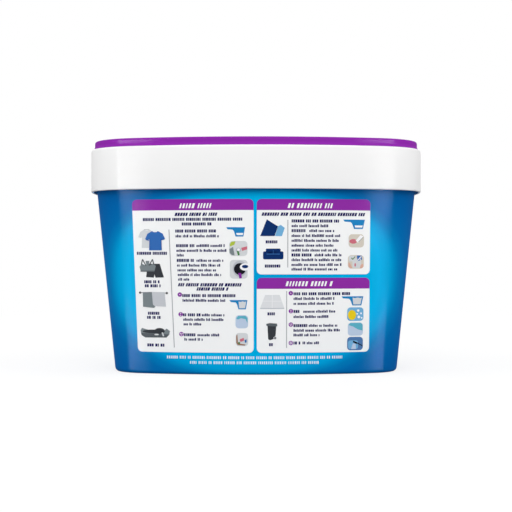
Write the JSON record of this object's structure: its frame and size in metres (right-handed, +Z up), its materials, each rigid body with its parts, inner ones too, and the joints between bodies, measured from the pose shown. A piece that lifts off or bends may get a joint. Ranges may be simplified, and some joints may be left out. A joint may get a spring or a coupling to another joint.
{
  "type": "stain remover powder tub",
  "caption": "Rounded rectangular plastic tub of stain remover powder with a printed directions face, a push-fit white collar, a purple flip lid and a measuring scoop inside",
  "frame": {"origin": "centre of the base, on the ground", "axes": "+X across the width, +Y toward the front with the thumb lip, the printed directions face looks toward -Y, +Z up"},
  "size_m": [0.226, 0.164, 0.1534],
  "materials": {
    "tub_plastic": "satin moulded, deep blue",
    "label_blue": "glossy printed film, blue with a lighter middle",
    "label_white": "glossy printed film, off-white",
    "label_purple": "glossy printed film, purple",
    "print_navy": "glossy ink, dark navy",
    "print_white": "glossy ink, white",
    "print_pictures": "glossy ink, blues and greys",
    "collar_plastic": "satin moulded, white",
    "lid_plastic": "glossy moulded, purple",
    "powder_grains": "fine dry powder, white",
    "scoop_plastic": "satin moulded, light blue"
  },
  "bodies": {
    "tub_body": {"tub": "tub_plastic", "label_film": "label_blue", "info_panels": "label_white", "header_bands": "label_purple", "text_rows": "print_navy", "title_rows": "print_white", "pictures": "print_pictures", "collar": "collar_plastic", "hinge_strap": "lid_plastic", "powder": "powder_grains", "scoop": "scoop_plastic"},
    "lid_body": {"lid": "lid_plastic"}
  },
  "joints": [
    {"name": "lid_hinge", "type": "hinge", "parent": "tub_body", "child": "lid_body", "pos_m": [0, -0.0805, 0.1481], "axis": [1, 0, 0], "range_deg": [0, 100]}
  ]
}
